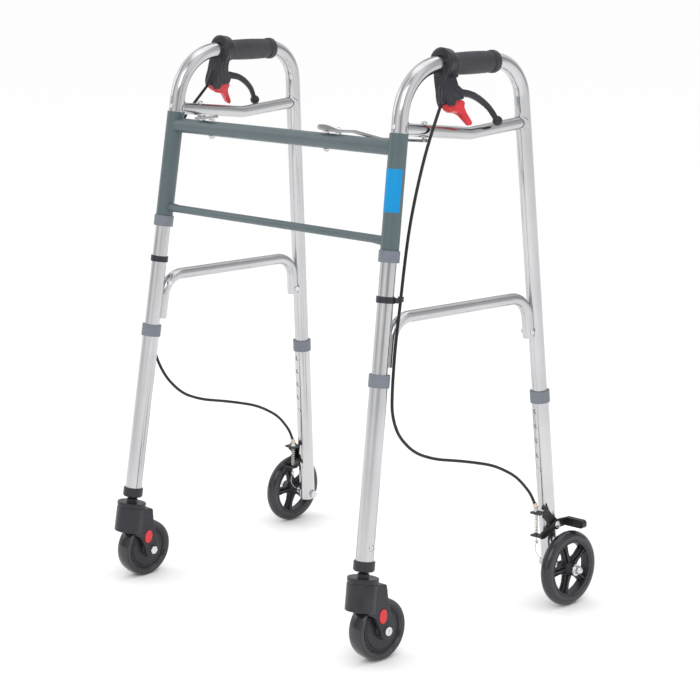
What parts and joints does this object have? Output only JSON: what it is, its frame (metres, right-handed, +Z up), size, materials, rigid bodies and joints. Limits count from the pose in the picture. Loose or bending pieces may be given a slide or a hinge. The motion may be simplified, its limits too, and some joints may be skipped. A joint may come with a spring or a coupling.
{
  "type": "walking frame",
  "caption": "Two-button folding walking frame with front swivel casters, braked rear wheels, hand brakes and telescoping legs.",
  "frame": {"origin": "on the floor, under the middle of the footprint", "axes": "+Z up, -Y the front with the crossbars and casters, +X the user's left side"},
  "size_m": [0.7414, 0.5266, 0.9362],
  "materials": {
    "polished_aluminium": "bright polished and clear anodised",
    "green_paint": "smooth grey-green powder coat, low gloss",
    "grey_plastic": "moulded, fine satin grain",
    "grip_foam": "matt ribbed rubber",
    "black_plastic": "moulded, fine grain",
    "red_plastic": "moulded, semi-gloss",
    "zinc_steel": "bright zinc plate",
    "latch_steel": "nickel-plated pressing",
    "black_steel": "black powder coat, satin",
    "cable_jacket": "smooth extruded jacket",
    "spring_steel": "zinc-plated wire",
    "tyre_rubber": "smooth solid rubber, matt"
  },
  "bodies": {
    "front_frame": {"hinge_sleeves": "green_paint", "crossbars": "green_paint", "sleeve_collars": "grey_plastic", "latch_fasteners": "zinc_steel"},
    "left_side_frame": {"side_tube_left": "polished_aluminium", "side_braces_left": "polished_aluminium", "grip_left": "grip_foam", "brake_housing_left": "black_plastic", "frame_hardware_left": "zinc_steel", "brake_cable_left": "cable_jacket", "cable_clip_left": "black_plastic"},
    "left_latch": {"latch_left": "latch_steel"},
    "left_brake_lever": {"brake_lever_left": "black_plastic"},
    "left_parking_catch": {"parking_catch_left": "red_plastic"},
    "left_front_button": {"snap_button_front_left": "zinc_steel"},
    "left_rear_button": {"snap_button_rear_left": "zinc_steel"},
    "left_front_leg": {"leg_front_left": "polished_aluminium", "leg_collar_front_left": "grey_plastic", "leg_plug_left": "black_plastic"},
    "left_caster_fork": {"caster_fork_left": "black_plastic", "caster_plug_left": "red_plastic", "caster_axle_left": "zinc_steel"},
    "left_caster_wheel": {"caster_tyre_left": "tyre_rubber", "caster_hub_left": "black_plastic"},
    "left_rear_leg": {"leg_rear_left": "polished_aluminium", "leg_collar_rear_left": "grey_plastic", "brake_bracket_left": "black_steel", "rear_hardware_left": "zinc_steel", "brake_spring_left": "spring_steel"},
    "left_rear_wheel": {"rear_tyre_left": "tyre_rubber", "rear_hub_left": "black_plastic"},
    "left_brake_arm": {"brake_arm_left": "black_steel"},
    "right_side_frame": {"side_tube_right": "polished_aluminium", "side_braces_right": "polished_aluminium", "grip_right": "grip_foam", "brake_housing_right": "black_plastic", "frame_hardware_right": "zinc_steel", "brake_cable_right": "cable_jacket", "cable_clip_right": "black_plastic"},
    "right_latch": {"latch_right": "latch_steel"},
    "right_brake_lever": {"brake_lever_right": "black_plastic"},
    "right_parking_catch": {"parking_catch_right": "red_plastic"},
    "right_front_button": {"snap_button_front_right": "zinc_steel"},
    "right_rear_button": {"snap_button_rear_right": "zinc_steel"},
    "right_front_leg": {"leg_front_right": "polished_aluminium", "leg_collar_front_right": "grey_plastic", "leg_plug_right": "black_plastic"},
    "right_caster_fork": {"caster_fork_right": "black_plastic", "caster_plug_right": "red_plastic", "caster_axle_right": "zinc_steel"},
    "right_caster_wheel": {"caster_tyre_right": "tyre_rubber", "caster_hub_right": "black_plastic"},
    "right_rear_leg": {"leg_rear_right": "polished_aluminium", "leg_collar_rear_right": "grey_plastic", "brake_bracket_right": "black_steel", "rear_hardware_right": "zinc_steel", "brake_spring_right": "spring_steel"},
    "right_rear_wheel": {"rear_tyre_right": "tyre_rubber", "rear_hub_right": "black_plastic"},
    "right_brake_arm": {"brake_arm_right": "black_steel"}
  },
  "joints": [
    {"name": "left_fold", "type": "hinge", "parent": "front_frame", "child": "left_side_frame", "pos_m": [0.264, -0.13, 0.81], "axis": [-0.0329, 0.1482, 0.9884], "range_deg": [0, 77]},
    {"name": "left_latch_rock", "type": "hinge", "parent": "front_frame", "child": "left_latch", "pos_m": [0.136, -0.13315, 0.8046], "axis": [-0.4027, 0.9153, 0], "range_deg": [-0.73, 2.6]},
    {"name": "left_brake_lever_squeeze", "type": "hinge", "parent": "left_side_frame", "child": "left_brake_lever", "pos_m": [0.27489, -0.01899, 0.86395], "axis": [0.9695, -0.0221, 0.2441], "range_deg": [0, 22]},
    {"name": "left_parking_catch_turn", "type": "hinge", "parent": "left_side_frame", "child": "left_parking_catch", "pos_m": [0.27789, -0.0393, 0.8502], "axis": [-0.9695, 0.0221, -0.2441], "range_deg": [0, 18]},
    {"name": "left_front_button_press", "type": "slide", "parent": "left_side_frame", "child": "left_front_button", "axis": [-0.0314, -0.9886, 0.1472], "range_m": [0, 0.0046]},
    {"name": "left_rear_button_press", "type": "slide", "parent": "left_side_frame", "child": "left_rear_button", "axis": [0.0235, 0.9972, 0.0709], "range_m": [0, 0.0046]},
    {"name": "left_front_leg_adjust", "type": "slide", "parent": "left_side_frame", "child": "left_front_leg", "axis": [0.0329, -0.1482, -0.9884], "range_m": [0, 0.1016], "deforming": ["snap_button_front_left"]},
    {"name": "left_rear_leg_adjust", "type": "slide", "parent": "left_side_frame", "child": "left_rear_leg", "axis": [0.0389, 0.07, -0.9968], "range_m": [0, 0.1016], "deforming": ["snap_button_rear_left", "brake_cable_left"]},
    {"name": "left_caster_swivel", "type": "hinge", "parent": "left_front_leg", "child": "left_caster_fork", "pos_m": [0.28636, -0.23075, 0.138], "axis": [-0.0329, 0.1482, 0.9884], "continuous": true},
    {"name": "left_caster_roll", "type": "hinge", "parent": "left_caster_fork", "child": "left_caster_wheel", "pos_m": [0.29032, -0.20472, 0.05005], "axis": [0.999, -0.0262, 0.0372], "continuous": true},
    {"name": "left_rear_wheel_roll", "type": "hinge", "parent": "left_rear_leg", "child": "left_rear_wheel", "pos_m": [0.3005, 0.20102, 0.06198], "axis": [0.999, -0.0262, 0.0372], "continuous": true},
    {"name": "left_brake_shoe_press", "type": "hinge", "parent": "left_rear_leg", "child": "left_brake_arm", "pos_m": [0.29765, 0.19593, 0.135], "axis": [-0.999, 0.0262, -0.0372], "range_deg": [0, 10.56], "deforming": ["brake_spring_left"]},
    {"name": "right_fold", "type": "hinge", "parent": "front_frame", "child": "right_side_frame", "pos_m": [-0.264, -0.13, 0.81], "axis": [-0.0329, -0.1482, -0.9884], "range_deg": [0, 52]},
    {"name": "right_latch_rock", "type": "hinge", "parent": "front_frame", "child": "right_latch", "pos_m": [-0.192, -0.13315, 0.8046], "axis": [-0.6119, -0.7909, 0], "range_deg": [-1.1, 3.9]},
    {"name": "right_brake_lever_squeeze", "type": "hinge", "parent": "right_side_frame", "child": "right_brake_lever", "pos_m": [-0.27503, -0.014, 0.86387], "axis": [0.9695, 0.0221, -0.2441], "range_deg": [0, 22]},
    {"name": "right_parking_catch_turn", "type": "hinge", "parent": "right_side_frame", "child": "right_parking_catch", "pos_m": [-0.27802, -0.0343, 0.85012], "axis": [-0.9695, -0.0221, 0.2441], "range_deg": [0, 18]},
    {"name": "right_front_button_press", "type": "slide", "parent": "right_side_frame", "child": "right_front_button", "axis": [0.0314, -0.9886, 0.1472], "range_m": [0, 0.0046]},
    {"name": "right_rear_button_press", "type": "slide", "parent": "right_side_frame", "child": "right_rear_button", "axis": [-0.0235, 0.9972, 0.0709], "range_m": [0, 0.0046]},
    {"name": "right_front_leg_adjust", "type": "slide", "parent": "right_side_frame", "child": "right_front_leg", "axis": [-0.0329, -0.1482, -0.9884], "range_m": [0, 0.1016], "deforming": ["snap_button_front_right"]},
    {"name": "right_rear_leg_adjust", "type": "slide", "parent": "right_side_frame", "child": "right_rear_leg", "axis": [-0.0389, 0.07, -0.9968], "range_m": [0, 0.1016], "deforming": ["snap_button_rear_right", "brake_cable_right"]},
    {"name": "right_caster_swivel", "type": "hinge", "parent": "right_front_leg", "child": "right_caster_fork", "pos_m": [-0.28636, -0.23075, 0.138], "axis": [-0.0329, -0.1482, -0.9884], "continuous": true},
    {"name": "right_caster_roll", "type": "hinge", "parent": "right_caster_fork", "child": "right_caster_wheel", "pos_m": [-0.29032, -0.20472, 0.05005], "axis": [0.999, 0.0262, -0.0372], "continuous": true},
    {"name": "right_rear_wheel_roll", "type": "hinge", "parent": "right_rear_leg", "child": "right_rear_wheel", "pos_m": [-0.3005, 0.20102, 0.06198], "axis": [0.999, 0.0262, -0.0372], "continuous": true},
    {"name": "right_brake_shoe_press", "type": "hinge", "parent": "right_rear_leg", "child": "right_brake_arm", "pos_m": [-0.29765, 0.19593, 0.135], "axis": [-0.999, -0.0262, 0.0372], "range_deg": [0, 10.56], "deforming": ["brake_spring_right"]}
  ],
  "couplings": [
    {"joint": "left_brake_shoe_press", "follows": "left_brake_lever_squeeze", "ratio": 0.48},
    {"joint": "right_brake_shoe_press", "follows": "right_brake_lever_squeeze", "ratio": 0.48}
  ]
}
